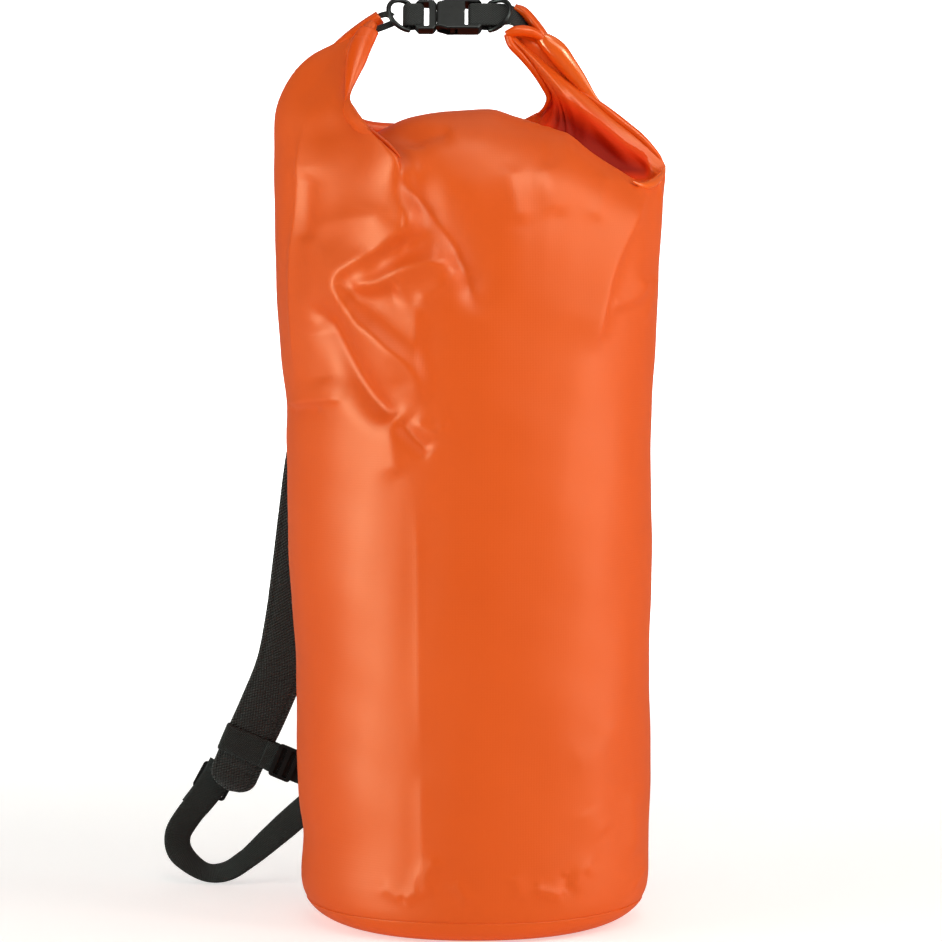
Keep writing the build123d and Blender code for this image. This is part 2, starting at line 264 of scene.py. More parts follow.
def coated_fabric(name, base, dark, scrim=0.5, rough=0.43, paints_shade=False, shine=0.42):
    """PVC-coated woven fabric: a faint scrim under a semi-gloss skin."""
    m = Shading(name)
    place, x, y, z = m.place("Object")
    cloud = m.noise(place, 9.0, 4.0, 0.55)
    tone = m.mix(cloud, dark, base)
    if paints_shade:
        # painted shade: a vertex value darkens the coating to red, then deep red, in the folds of the mouth
        painted_shade = m.tree.nodes.new("ShaderNodeAttribute")
        painted_shade.attribute_name = "painted_shade"
        depth = m.times(painted_shade.outputs["Fac"], 2.0)
        red = m.mix(depth, tone, (0.78, 0.040, 0.003, 1))
        tone = m.mix(m.math("SUBTRACT", depth, 1.0), red, (0.34, 0.006, 0.001, 1))
    thread_pitch, threads_round = 0.0021, 400
    rows = m.sine(m.times(z, 2 * math.pi / thread_pitch))
    columns = m.sine(m.times(m.math("ARCTAN2", y, x), threads_round))
    weave = m.plus(m.times(rows, 0.42), m.times(columns, 0.42))
    height = m.plus(m.times(weave, scrim), m.times(m.noise(place, 900.0, 2.0), 0.16))
    m.surface({"Base Color": tone, "Normal": m.bump(height, 0.30, 0.0002),
               "Roughness": m.plus(m.times(cloud, 0.10), rough - 0.05),
               "Specular IOR Level": shine, "Specular Tint": (1.0, 0.78, 0.56, 1)})
    return m.material


def webbing_material(name, pitch=0.0024, twill=1.0, bright=2.6):
    """Woven nylon webbing: ribs along it crossed by slanting picks, from its UV in decimetres."""
    m = Shading(name)
    uv, across, along, _ = m.place("UV")
    k = 2 * math.pi / (pitch * 10)
    ribs = m.sine(m.plus(m.times(across, k * twill), m.times(along, k)))
    lines = m.sine(m.times(across, k * 1.9))
    height = m.plus(m.times(ribs, 0.5), m.plus(m.times(lines, 0.25), m.times(m.noise(uv, 60.0, 5.0), 0.5)))
    tone = (0.006, 0.0057, 0.0055)
    light = (*(c * bright for c in tone), 1)
    m.surface({"Base Color": m.mix(m.plus(m.times(ribs, 0.3), 0.45), (*tone, 1), light),
               "Normal": m.bump(height, 0.7, 0.0005), "Roughness": 0.72, "Specular IOR Level": 0.3,
               "Sheen Weight": 0.12, "Sheen Roughness": 0.4})
    return m.material


def mesh_pad_material(name):
    """Three-dimensional spacer mesh: slanting rows of small ribs on a black face."""
    m = Shading(name)
    uv, across, along, _ = m.place("UV")
    k = 2 * math.pi / 0.030
    rows = m.sine(m.plus(m.times(along, k), m.times(across, k * 0.8)))
    cells = m.sine(m.plus(m.times(across, k * 1.2), m.times(along, -k * 0.4)))
    height = m.plus(m.times(rows, 0.6), m.plus(m.times(cells, 0.25), m.times(m.noise(uv, 45.0, 4.0), 0.4)))
    m.surface({"Base Color": m.mix(m.plus(m.times(rows, 0.35), 0.4), (0.0025, 0.0025, 0.0025, 1),
                                   (0.027, 0.026, 0.025, 1)),
               "Normal": m.bump(height, 0.9, 0.0012), "Roughness": 0.8, "Specular IOR Level": 0.3,
               "Sheen Weight": 0.15, "Sheen Roughness": 0.5})
    return m.material


def plastic_material(name):
    """Moulded black acetal with a fine spark-eroded texture."""
    m = Shading(name)
    place = m.place("Object")[0]
    smear = m.noise(place, 120.0, 3.0)
    m.surface({"Base Color": m.mix(smear, (0.0036, 0.0036, 0.0036, 1), (0.007, 0.0068, 0.0068, 1)),
               "Normal": m.bump(m.noise(place, 1500.0, 3.0), 0.16, 0.0002),
               "Roughness": m.plus(m.times(smear, 0.14), 0.23), "Specular IOR Level": 0.30})
    return m.material


light_orange, dark_orange = (0.80, 0.100, 0.004, 1), (0.72, 0.084, 0.003, 1)
orange = coated_fabric("orange_coated", light_orange, dark_orange)
orange_gloss = coated_fabric("orange_rolled", (0.84, 0.098, 0.003, 1), (0.78, 0.080, 0.002, 1),
                             scrim=0.25, rough=0.28)
orange_body = coated_fabric("orange_body", light_orange, dark_orange, paints_shade=True)
# painted shade: the coating for the faces deep in the mouth's fold, painted dark red and with less gloss
orange_painted_shade = coated_fabric("orange_painted_shade", light_orange, dark_orange, rough=0.62, paints_shade=True, shine=0.10)
orange_glassy = coated_fabric("orange_glassy", (0.88, 0.130, 0.008, 1), (0.84, 0.110, 0.005, 1),
                              scrim=0.1, rough=0.16, shine=1.0)
black_webbing = webbing_material("black_webbing")
smooth_webbing = webbing_material("black_smooth_webbing", pitch=0.0016, twill=0.35, bright=1.7)
pad_mesh = mesh_pad_material("padded_mesh")
acetal = plastic_material("black_acetal")


# ---- body of the bag --------------------------------------------------------
# height, then half width on each side and half depth
left_half = [(0, 149.5), (30, 149.0), (50, 150.2), (71, 145.8), (98, 150.4), (125, 151.5), (230, 154),
             (311, 159), (425, 163), (444, 160.5), (473, 164.6), (550, 170.5), (600, 171.5), (660, 171)]
right_half = [(0, 150), (33, 153.2), (230, 153.8), (461, 155.5), (497, 157.7), (550, 161.2),
              (604, 164.5), (652, 166)]
depth_half = [(0, 149.5), (230, 153), (450, 155.5), (540, 152.5), (640, 147)]


def soft_table(table, z):
    """A table read with its corners rounded off."""
    xs, ys = zip(*table)
    return sum(np.interp(z + d, xs, ys) for d in (-14, -7, 0, 7, 14)) / 5


def ring_point(z, phi):
    """A point of the tube; phi runs from the left edge across the front to the right edge."""
    c = np.cos(phi)
    half = np.where(c > 0, soft_table(left_half, z), soft_table(right_half, z))
    return np.stack([-half * c, -soft_table(depth_half, z) * np.sin(phi), z + 0 * phi], axis=-1)


wall_radius = 150.2             # where the rounded base meets the straight wall
wall_level = 34.0
curve_rows = 90
curve_start = 30                # the base is flat as far as this row of its curve
side_curve = smooth_line([(0, 0.9, 0), (60, 0.5, 0), (92, 0.7, 0), (114, 2.4, 0), (127, 5.6, 0),
                          (137, 10.6, 0), (144, 17.5, 0), (148.3, 26.0, 0), (149.9, 34.0, 0),
                          (wall_radius, 42.0, 0)], curve_rows)
front_curve = smooth_line([(0, 0.9, 0), (60, 0.5, 0), (112, 0.3, 0), (130, 0.8, 0), (139, 2.8, 0),
                           (145, 7.2, 0), (148.4, 14.0, 0), (149.8, 22.0, 0), (150.1, 32.0, 0),
                           (wall_radius, 42.0, 0)], curve_rows)


def base_curve(turn):
    """Radius and height of the rounded base, from its centre to the straight wall."""
    curve = front_curve + (side_curve - front_curve) * np.abs(np.cos(turn)) ** 3
    return curve[:, 0], curve[:, 1]


# Above this height the tube is drawn to its mouth. Each column is a line of the fabric at that many
# degrees round from the left edge, up to the lips: 0 to 180 across the front, the rest across the back.
shoulder_start = 540.0
columns = {
    0: [(-171.5, 0, 600), (-171, 0, 660), (-168.5, 0, 703), (-157, 0, 729), (-141, 0, 746), (-112, 0, 762),
        (-102, 0, 770)],
    24: [(-157, -56, 600), (-152, -58, 650), (-145, -48, 690), (-138, -35, 712), (-127, -26, 731),
        (-108, -18, 752), (-100, -12, 762)],
    40: [(-131, -94, 600), (-128, -87, 650), (-122, -66, 690), (-116, -47, 717), (-107, -32, 738),
        (-100, -22, 751), (-97, -15, 758)],
    53: [(-103, -120, 600), (-100, -112, 645), (-99, -97, 675), (-103, -73, 697), (-108, -55, 711),
        (-104, -38, 731), (-99, -27, 745), (-96, -18, 754)],
    66.5: [(-62, -140, 600), (-60, -139, 640), (-63, -136, 656), (-73, -125, 665), (-87, -108, 675),
        (-101, -86, 688), (-108, -65, 702), (-105, -49, 716), (-99, -36, 733), (-95, -25, 746)],
    69.5: [(-56, -141, 600), (-55, -139, 640), (-61, -131, 653), (-77, -112, 661), (-96, -88, 672),
        (-110, -62, 687), (-116, -42, 702), (-111, -27, 718), (-103, -17, 734), (-97, -11, 746)],
    71: [(-53, -142, 600), (-51, -140, 640), (-56, -131, 655), (-72, -110, 664), (-92, -84, 673),
        (-110, -56, 684), (-119, -34, 698), (-116, -20, 716), (-109, -10, 732), (-102, -2, 744)],
    73: [(-49, -143, 600), (-47, -141, 640), (-51, -131, 657), (-68, -108, 666), (-91, -81, 672),
        (-109, -52, 679), (-118, -28, 690), (-118, -12, 704), (-112, -1, 716)],
    75: [(-44, -144, 600), (-42, -141, 640), (-46, -130, 660), (-63, -106, 670), (-86, -78, 675),
        (-104, -48, 677), (-113, -20, 681), (-113, 2, 689)],
    83: [(-22, -149, 600), (-20, -145, 640), (-24, -128, 672), (-38, -98, 689), (-52, -66, 691),
        (-60, -36, 685), (-66, -8, 681), (-68, 12, 685)],
    90: [(0, -150, 600), (0, -146, 640), (-2, -130, 672), (-4, -98, 693), (-6, -62, 698), (-8, -30, 692),
        (-10, -5, 684), (-12, 14, 684)],
    105: [(43, -144, 600), (42, -139, 640), (40, -122, 670), (37, -92, 688), (36, -62, 693), (39, -30, 687),
        (46, -5, 682), (50, 12, 685)],
    107: [(48, -142, 600), (47, -137, 640), (45, -120, 669), (42, -91, 686), (42, -60, 691), (46, -30, 685),
        (56, -8, 686), (62, 6, 696)],
    109: [(54, -140, 600), (53, -135, 640), (51, -118, 667), (48, -90, 684), (49, -59, 688), (54, -30, 680),
        (65, -8, 690), (70, -2, 701), (68, 2, 710)],
    111: [(60, -138, 600), (59, -133, 638), (57, -116, 665), (55, -88, 681), (57, -58, 685), (63, -30, 674),
        (73, -10, 689), (72, -9, 705), (66, -7, 718), (58, -3, 729)],
    114: [(68, -134, 600), (67, -129, 637), (65, -112, 662), (64, -86, 678), (66, -57, 682), (72, -30, 667),
        (79, -12, 687), (74, -14, 706), (63, -15, 722), (51, -12, 738), (42, -7, 747)],
    118: [(79, -129, 600), (78, -123, 636), (76, -106, 660), (75, -82, 675), (76, -55, 678), (80, -30, 661),
        (82, -13, 686), (76, -16, 706), (66, -18, 723), (52, -18, 740), (38, -15, 755), (28, -8, 763)],
    124: [(92, -121, 600), (91, -115, 632), (88, -99, 655), (86, -76, 669), (87, -51, 672), (90, -29, 655),
        (90, -14, 680), (84, -17, 700), (75, -19, 716), (62, -19, 733), (48, -17, 749), (34, -11, 764)],
    134: [(114, -106, 595), (113, -99, 622), (110, -85, 643), (108, -66, 655), (108, -46, 657),
        (109, -28, 645), (106, -13, 668), (99, -16, 687), (90, -17, 703), (79, -16, 718), (66, -13, 732),
        (50, -8, 749), (38, -4, 762)],
    148: [(140, -79, 595), (139, -73, 618), (137, -63, 634), (134, -50, 641), (133, -38, 642),
        (133, -25, 635), (130, -11, 652), (124, -13, 669), (114, -14, 685), (102, -12, 701), (90, -9, 715),
        (76, -5, 728)],
    160: [(153, -52, 595), (153, -49, 616), (151, -43, 631), (149, -34, 640), (149, -26, 641),
        (149, -18, 639), (147, -8, 650), (142, -9, 661), (133, -9, 676), (121, -8, 690), (108, -4, 704)],
    170: [(161.5, -27, 595), (162, -26, 617), (161.5, -22, 633), (160, -17, 643), (159.5, -12, 645),
        (159, -7, 648), (156, -5, 657), (148, -5, 669), (136, -4, 682)],
    180: [(164.5, 0, 604), (165.5, 0, 630), (166.3, 0, 645), (166, 0, 652), (161.5, 0, 660),
        (153.5, 0, 669)],
    190: [(162, 26, 600), (163, 22, 630), (163, 12, 648), (158, 6, 660), (149, 5, 672), (137, 4, 684)],
    200: [(155, 50, 600), (157, 44, 630), (160, 24, 650), (157, 9, 662), (146, 6, 675), (133, 5, 687),
        (120, 4, 696)],
    220: [(127, 96, 600), (131, 86, 640), (136, 50, 662), (134, 22, 676), (124, 12, 690), (110, 8, 704),
        (92, 6, 718)],
    236: [(92, 121, 600), (95, 110, 645), (103, 68, 675), (104, 32, 690), (96, 15, 706), (80, 10, 724),
        (60, 8, 742), (42, 5, 758)],
    242: [(79, 129, 600), (83, 117, 645), (92, 74, 677), (95, 36, 692), (88, 16, 708), (74, 10, 726),
        (54, 6, 745), (34, 3, 760)],
    246: [(70, 133, 600), (74, 121, 645), (83, 78, 678), (87, 38, 691), (83, 18, 704), (70, 9, 724),
        (50, 5, 744)],
    249: [(62, 136, 600), (66, 124, 645), (76, 81, 678), (82, 40, 690), (82, 18, 700), (73, 9, 716),
        (60, 5, 729)],
    251: [(56, 138, 600), (60, 126, 645), (70, 83, 678), (77, 42, 689), (79, 20, 695), (75, 12, 704),
        (67, 7, 711)],
    253: [(50, 140, 600), (54, 128, 645), (63, 84, 678), (70, 44, 688), (72, 24, 690), (68, 14, 694),
        (63, 10, 698)],
    255: [(45, 141, 600), (48, 129, 645), (55, 86, 678), (60, 46, 687), (59, 26, 687), (50, 16, 687)],
    263: [(22, 146, 600), (22, 134, 645), (30, 91, 678), (36, 46, 688), (34, 18, 686)],
    268: [(5, 147, 600), (4, 136, 645), (10, 92, 678), (14, 46, 687), (12, 18, 685)],
    275: [(-15, 148, 600), (-16, 136, 645), (-14, 94, 678), (-12, 50, 688), (-12, 17, 686)],
    285: [(-44, 145, 600), (-45, 132, 645), (-53, 90, 678), (-72, 50, 686), (-103, 12, 687)],
    289: [(-58, 141, 600), (-60, 127, 645), (-67, 86, 680), (-94, 46, 687), (-115, 10, 708)],
    293: [(-68, 136, 600), (-70, 122, 645), (-80, 82, 682), (-106, 44, 693), (-116, 10, 718)],
    315: [(-119, 106, 600), (-120, 92, 650), (-117, 60, 692), (-116, 38, 715), (-110, 20, 732),
        (-101, 5, 745)],
    335: [(-154, 61, 600), (-152, 52, 650), (-146, 34, 695), (-136, 24, 722), (-118, 14, 745),
        (-103, 8, 756)],
    350: [(-168, 26, 600), (-168, 24, 650), (-165, 16, 700), (-152, 12, 727), (-132, 8, 749), (-112, 7, 759),
        (-103, 5, 766)],
}
low_rows, top_rows, around = 284, 170, 520
phi = np.radians(np.linspace(0, 360, around, endpoint=False))
lifted = []
for key in sorted(columns):
    start = [ring_point(np.array(z), np.radians(key)) for z in (shoulder_start - 40, shoulder_start)]
    line = smooth_line(start + [np.array(p, float) for p in columns[key]], 400)
    first = int(np.argmax(line[:, 2] >= shoulder_start))
    lifted.append(smooth_line(line[first::6], top_rows + 1))
lifted = np.array(lifted + lifted[:1])
key_phi = np.radians(np.array(sorted(columns) + [360.0]))


def between(values, at, want):
    """A cubic through values at uneven stations, the last of which is the first again."""
    h = np.diff(at)
    slope = np.diff(values, axis=0) / h[:, None, None]
    tangent = np.empty_like(values)
    tangent[1:-1] = (h[1:, None, None] * slope[:-1] + h[:-1, None, None] * slope[1:]) / (
        h[1:, None, None] + h[:-1, None, None])
    tangent[0] = tangent[-1] = (h[0] * slope[-1] + h[-1] * slope[0]) / (h[0] + h[-1])
    k = np.clip(np.searchsorted(at, want, side="right") - 1, 0, len(h) - 1)
    t = ((want - at[k]) / h[k])[:, None, None]
    step = h[k][:, None, None]
    return ((2 * t**3 - 3 * t**2 + 1) * values[k] + (t**3 - 2 * t**2 + t) * step * tangent[k]
            + (-2 * t**3 + 3 * t**2) * values[k + 1] + (t**3 - t**2) * step * tangent[k + 1])


top = between(lifted, key_phi, phi).transpose(1, 0, 2)
hem = 13.0                      # the tube ends here, under the base panel's rim
low_z = np.linspace(hem, shoulder_start, low_rows)
low = np.array([ring_point(np.full(around, max(z, wall_level)), phi) for z in low_z])
for j, turn in enumerate(phi):
    curve_r, curve_h = base_curve(turn)
    low[:, j, :2] *= (np.interp(low_z, curve_h[curve_start:], curve_r[curve_start:]) / wall_radius)[:, None]
low[:, :, 2] = low_z[:, None]
body = np.concatenate([low, top[1:]])
# the join between the two is blurred along the height
ease = np.exp(-((np.arange(len(body)) - low_rows + 1) / 9.0) ** 2)[:, None, None]
blurred = sum(np.roll(body, k, axis=0) for k in range(-8, 9)) / 17
body[12:-12] = (body * (1 - ease) + blurred * ease)[12:-12]


def normals_of(grid):
    """Outward normals of the closed tube."""
    du = np.roll(grid, -1, axis=1) - np.roll(grid, 1, axis=1)
    dv = np.gradient(grid, axis=0)
    return unit(np.cross(dv, du)) * -1


def fold(points, height, left, right, crest=1.2, front=True):
    """Displacement of one ridge or valley that follows points (x, z) on the front or the back.

    left and right are its reach on either side of the line, crest is how round its top is."""
    line = smooth_line([(x, z, 0) for x, z in points], max(12, len(points) * 8))[:, :2]
    x, z = body[..., 0], body[..., 2]
    spread = 2.4 * max(left, right) + 20
    side = front_share if front else back_share
    near = ((x > line[:, 0].min() - spread) & (x < line[:, 0].max() + spread)
            & (z > line[:, 1].min() - spread) & (z < line[:, 1].max() + spread) & (side > 0))
    px, pz = x[near], z[near]
    best = np.full(px.shape, 1e9)
    parts = []
    for i, (a, b) in enumerate(zip(line, line[1:])):
        d = b - a
        t = np.clip(((px - a[0]) * d[0] + (pz - a[1]) * d[1]) / (d @ d + 1e-9), 0, 1)
        qx, qz = px - a[0] - t * d[0], pz - a[1] - t * d[1]
        dist = np.hypot(qx, qz)
        best = np.minimum(best, dist)
        parts.append((dist, np.clip((d[0] * qz - d[1] * qx) / (np.hypot(d[0], d[1]) * 2.0 + 1e-9), -1, 1),
                      (i + t) / (len(line) - 1)))
    weight, signed, place = 1e-9, 0, 0
    for dist, way, along in parts:
        share = np.exp(-(dist - best) / (1.0 + 0.12 * best))
        weight, signed, place = weight + share, signed + share * way, place + share * along
    signed, place = signed / weight, place / weight
    reach = right + (left - right) * (signed + 1) / 2
    bell = np.exp(-(np.sqrt(best**2 + crest**2) - crest) / reach * 1.4)
    bell = bell * np.exp(-((best / (reach * 1.9)) ** 4))
    ends = np.clip(np.minimum(place, 1 - place) * 4.5, 0.0, 1)
    bell = bell * ends * ends * (3 - 2 * ends)
    out = np.zeros(x.shape)
    out[near] = height * bell * side[near]
    return out


# how much of each fold a point takes: none on the other side, inside the mouth or near its lips
row = np.arange(len(body))[:, None]
turn_deg = np.degrees(phi)[None, :] + 0 * row
mouth_fade = np.clip((len(body) - 24 - row) / 24, 0, 1)
facing = np.clip((-12 - body[..., 1]) / 14, 0, 1)
facing = np.where(turn_deg < 30, np.clip((turn_deg + 1) / 8, 0, 1), facing)
facing = np.where((turn_deg > 150) & (turn_deg < 180), np.clip((178 - turn_deg) / 8, 0, 1), facing)
inner_wall = (np.clip((turn_deg - 66.5) / 1.5, 0, 1) * np.clip((77 - turn_deg) / 3, 0, 1)
              * np.clip((body[..., 2] - 652) / 10, 0, 1))
front_share = np.where(turn_deg < 180, facing * (1 - inner_wall), 0) * mouth_fade
back_share = np.where(turn_deg > 180, np.clip((body[..., 1] - 24) / 14, 0, 1), 0) * mouth_fade

front_folds = [
    # points (x, z), height, reach to the left and right, roundness of the crest
    # the large folds below the left arm
    ([(-72, 653), (-69, 646), (-62, 629), (-56, 617), (-52.5, 606), (-54, 597.5), (-65, 590), (-79, 579),
      (-102, 566), (-111, 558), (-113, 548), (-106, 535), (-95, 519), (-82, 509), (-70, 498), (-56, 486),
      (-48, 472), (-49, 458), (-52, 445)], 9.0, 9, 26, 3.6),
    ([(-112, 551), (-104, 550), (-89, 550), (-77, 552), (-60, 561), (-42, 566), (-25, 569),
      (-10, 570)], 8.0, 10, 12, 4.5),
    ([(-12, 571), (-13, 564), (-19, 554), (-34, 543), (-50, 534)], 3.4, 11, 9, 4),
    ([(-52, 538), (-48, 529), (-46, 513), (-48, 495), (-46, 478), (-43, 466), (-46, 445)], 2.6, 6, 16, 3),
    ([(-66, 650), (-56, 632), (-42, 617), (-28, 599), (-16, 583), (-8, 564), (0, 541),
      (4, 520)], -8, 20, 11, 5),
    ([(-92, 567), (-68, 579), (-46, 588), (-28, 590)], -3.0, 13, 14, 8),
    ([(-108, 540), (-84, 540), (-58, 546)], -4.5, 13, 15, 7),
    ([(-138, 540), (-134, 531), (-121, 516), (-111, 499), (-102, 481), (-93, 466), (-84, 454), (-74, 446),
      (-62, 446), (-52, 444)], -9.5, 13, 11, 5),
    ([(-62, 441), (-57, 432), (-46, 420), (-34, 409)], -4.6, 10, 7, 3),
    ([(-67, 446), (-67, 433), (-66, 413), (-62, 388)], 2.6, 9, 18, 4),
    ([(-48, 441), (-42, 432), (-30, 428), (-18, 437)], 2.0, 6, 9, 2.4),
    ([(-124, 706), (-119, 676), (-117, 640), (-119, 604), (-123, 566)], -5.0, 22, 22, 15),
    ([(-132, 520), (-128, 490), (-126, 462)], -3.5, 22, 20, 12),
    # the flattened left edge
    ([(-143, 694), (-148, 659), (-150, 638), (-153, 603), (-155, 579), (-155, 545), (-154, 508),
      (-153, 478), (-155, 462)], 2.2, 7, 4, 0.8),
    ([(-143, 650), (-144, 609), (-140, 580)], -4.0, 13, 10, 5),
    ([(-153, 577), (-142, 588), (-134, 597), (-111, 603), (-84, 606), (-60, 609)], 3.0, 12, 14, 6),
    ([(-163, 447), (-147, 451), (-129, 453), (-104, 455)], 2.4, 11, 4, 1.5),
    ([(-161, 443), (-146, 444), (-126, 446)], -2.2, 3, 8, 1.0),
    # the right side, drawn towards the corner of the mouth
    ([(152, 637), (144, 622), (134, 602), (121, 577), (112, 553), (108, 534), (104, 515),
      (98, 488)], 5.0, 8, 24, 3),
    ([(111, 531), (125, 535), (139, 541), (151, 557)], 2.8, 10, 6, 3),
    ([(159, 562), (151, 534), (146, 516)], 1.8, 5, 6, 2),
    ([(137, 632), (150, 635), (165, 645)], 3.4, 5, 5, 1.2),
    ([(136, 640), (148, 641), (160, 648)], -2.4, 4, 4, 2),
    ([(30, 652), (32, 634), (35, 618), (38, 598)], 2.2, 12, 12, 6),
    ([(60, 654), (63, 639), (66, 624), (70, 606)], 2.0, 11, 11, 6),
    ([(113, 648), (110, 632), (106, 618), (102, 600)], 2.0, 9, 9, 5),
    # the left end of the front bulge
    ([(-64, 656), (-52, 668), (-34, 676), (-14, 678)], -4.5, 9, 9, 4),
    # creases above the base
    ([(51, 48), (55, 44.5), (65, 41.5), (76, 39)], 2.4, 5, 6, 2.4),
    ([(103, 62), (91, 58), (87, 50), (84, 41)], 1.8, 7, 8, 3),
    ([(78, 56), (79, 48), (77, 42)], -1.8, 6, 5, 3),
    ([(34, 58), (38, 47), (38, 36)], 1.9, 7, 6, 3),
    ([(134, 120), (138, 92), (138, 60)], 2.2, 9, 7, 4),
    ([(119, 186), (113, 166), (102, 156), (78, 148)], 0.9, 14, 16, 6),
    ([(96, 110), (104, 96), (112, 86)], 1.1, 12, 12, 6),
    ([(-28, 74), (-38, 58), (-38, 38)], 1.7, 6, 6, 3),
    ([(-15, 54), (-3, 34)], 1.5, 5, 5, 3),
    ([(-76, 46), (-59, 37)], 1.2, 6, 5, 2.4),
    ([(-57, 36), (-45, 45)], 1.5, 5, 5, 2.4),
    ([(147, 50), (144, 42), (137, 36)], 1.6, 4, 5, 1.6),
    ([(-43, 150), (-42.5, 104), (-42.5, 64), (-48, 53), (-60, 40)], 1.2, 12, 6, 2),
    ([(-48, 380), (-47.5, 358), (-46, 330), (-45, 250), (-44, 150)], 0.8, 9, 5, 0.8),
]
push = np.zeros(body.shape[:2])
for points, height, left, right, crest in front_folds:
    push += fold(points, height, left, right, crest)

# the carrying side is pulled in a little between its anchors and creased under them
for x, z, dx, dz, h in [(-64, 612, 26, -52, 2.4), (-64, 612, -24, -60, 2.0), (70, 612, -22, -58, 2.2),
                        (70, 612, 24, -50, 2.0), (-98, 126, 20, 44, 1.8), (88, 126, -18, 48, 1.9),
                        (0, 660, 6, -60, 1.8), (-30, 664, -18, -44, 1.6), (34, 668, 18, -50, 1.6),
                        (-110, 420, 60, 18, 1.2), (20, 330, 60, -14, 1.0), (-60, 240, 70, 10, 0.9)]:
    push += fold([(x, z), (x + dx / 2, z + dz / 2 + 3), (x + dx, z + dz)], h, 9, 12, front=False)

# the soft unevenness of the whole sheet
x, y, z = body[..., 0], body[..., 1], body[..., 2]
wave = (0.9 * np.sin(x / 31 + z / 74 + 1.2) * np.sin(z / 47 - x / 90)
        + 0.55 * np.sin(x / 17 + 2.1 + y / 40) * np.sin(z / 29 + 0.6)
        + 0.25 * np.sin(x / 9.5 + z / 23) * np.sin(z / 13.5 - x / 20))
push += wave * np.clip((z - 40) / 50, 0, 1)
push *= np.clip(row / 5, 0, 1)
body = body + normals_of(body) * push[..., None]

# the two lips of the mouth meet under the roll
lips = body[-1]
partner = lips[(-np.arange(around)) % around]
meeting = (lips + partner) / 2 + np.array([0, 0, 3.0])
body = np.concatenate([body, [lips * 0.6 + meeting * 0.4], [lips * 0.15 + meeting * 0.85], [meeting]])
bag_body = grid_object("bag_body", body, orange_body, closed=True)
# painted shade: this vertex value, 1 deep in the mouth's right end and partly so in a band behind the left
# fold, paints the coating darker red there
bx, by, bz = body[..., 0], body[..., 1], body[..., 2]
rim = np.interp(bx, [40, 63, 89, 110, 132, 158], [724, 716, 702, 688, 670, 655])
pocket_shade = np.clip((rim + 9 - bz) / 26, 0, 1) * np.clip((by + 52) / 18, 0, 1) * np.clip((12 - by) / 8, 0, 1)
pocket_shade *= np.clip((bx - 50) / 26, 0.25, 1) * (bx > 38) * np.clip((bz - 636) / 12, 0, 1)
pocket_shade *= np.clip((156 - bx) / 8, 0, 1)
turn_deg = np.degrees(phi)[None, :]    # the lips have added rows
# painted shade behind the left fold: a soft spot of darker red
left_fold_shade = 0.6 * np.exp(-(((bx + 98) / 24) ** 2 + ((bz - 688) / 15) ** 2)) * (by > -80)
left_fold_shade = left_fold_shade * np.clip((turn_deg - 68.4) / 1.5, 0, 1) * np.clip((292 - turn_deg) / 6, 0, 1)
shade = bag_body.data.attributes.new("painted_shade", "FLOAT", "POINT")
painted_shade = np.maximum(pocket_shade, left_fold_shade)
shade.data.foreach_set("value", painted_shade.ravel().astype(np.float32))
# faces mostly under painted shade take its material, with the painted dark red and less gloss
bag_body.data.materials.append(orange_painted_shade)
pair = painted_shade + np.roll(painted_shade, -1, axis=1)
cell = pair[:-1] + pair[1:]
bag_body.data.polygons.foreach_set("material_index", (cell > 1.0).ravel().astype(np.int32))
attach(bag_body, "bag")
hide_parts("body_tube", "top_shoulder", "side_seam")


# ---- base panel, folded up and welded round the hem -------------------------
base_rows, base_turns = 64, 420
panel_over, panel_under = 0.75, 0.3     # the panel lies over the tube, and its flat part this much lower
base = np.zeros((base_rows + 4, base_turns, 3))
curve_steps = np.arange(curve_rows)
for j, turn in enumerate(np.radians(np.linspace(0, 360, base_turns, endpoint=False))):
    curve_r, curve_h = base_curve(turn)
    rim_level = 17.0 + 1.2 * abs(math.cos(turn)) + 0.5 * math.sin(turn * 5 + 0.6)
    last = np.interp(rim_level, curve_h[curve_start:], curve_steps[curve_start:])
    at = np.linspace(0, 1, base_rows) ** 0.8 * last
    outer = np.clip(at / 60, 0, 1)
    r = np.interp(at, curve_steps, curve_r) + panel_over * outer
    h = np.interp(at, curve_steps, curve_h) - panel_under * outer
    # the welded lip turns in towards the tube
    r = np.append(r, [r[-1] + 0.05, r[-1] - 0.35, r[-1] - 0.95, r[-1] - 2.2])
    h = np.append(h, [h[-1] + 0.5, h[-1] + 0.85, h[-1] + 0.75, h[-1] - 0.4])
    half = soft_table(left_half if math.cos(turn) > 0 else right_half, wall_level)
    base[:, j, 0] = -r * math.cos(turn) * half / wall_radius
    base[:, j, 1] = -r * math.sin(turn) * soft_table(depth_half, wall_level) / wall_radius
    base[:, j, 2] = np.maximum(h, 0.3)
base_band = grid_object("base_band", base, orange, closed=True)
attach(base_band, "bag")
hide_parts("base_panel")

# ---- carrying panel, welded on the back --------------------------------------
panel_rows, panel_cols = 150, 120
panel_half, panel_low, panel_high, panel_proud = 117, 70, 628, 1.2
panel = np.zeros((panel_rows, panel_cols, 3))
line_x = np.linspace(panel_half, -panel_half, panel_cols)
for i, level in enumerate(np.linspace(panel_low, panel_high, panel_rows)):
    ring = body[int(np.argmin(np.abs(body[:, int(around * 0.75), 2] - level)))]
    back = ring[ring[:, 1] > 0]
    order = np.argsort(back[:, 0])
    panel[i] = np.stack([line_x, np.interp(line_x, back[order, 0], back[order, 1]),
                         np.full(panel_cols, level)], axis=-1)
from_side, from_end = (np.minimum(np.arange(n), np.arange(n)[::-1]) for n in (panel_cols, panel_rows))
lift = np.minimum(from_side[None, :] / 2.0, from_end[:, None])
out = unit(panel * np.array([1, 1, 0]))
panel += out * np.clip(lift, -0.4, 1.0)[..., None] * panel_proud
# the edges are tucked into the tube, the corners twice as far
for edge in (np.s_[0], np.s_[-1], np.s_[:, 0], np.s_[:, -1]):
    panel[edge] -= out[edge]
carry_panel = grid_object("carry_panel", panel, orange)
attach(carry_panel, "bag")
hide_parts("back_panel")

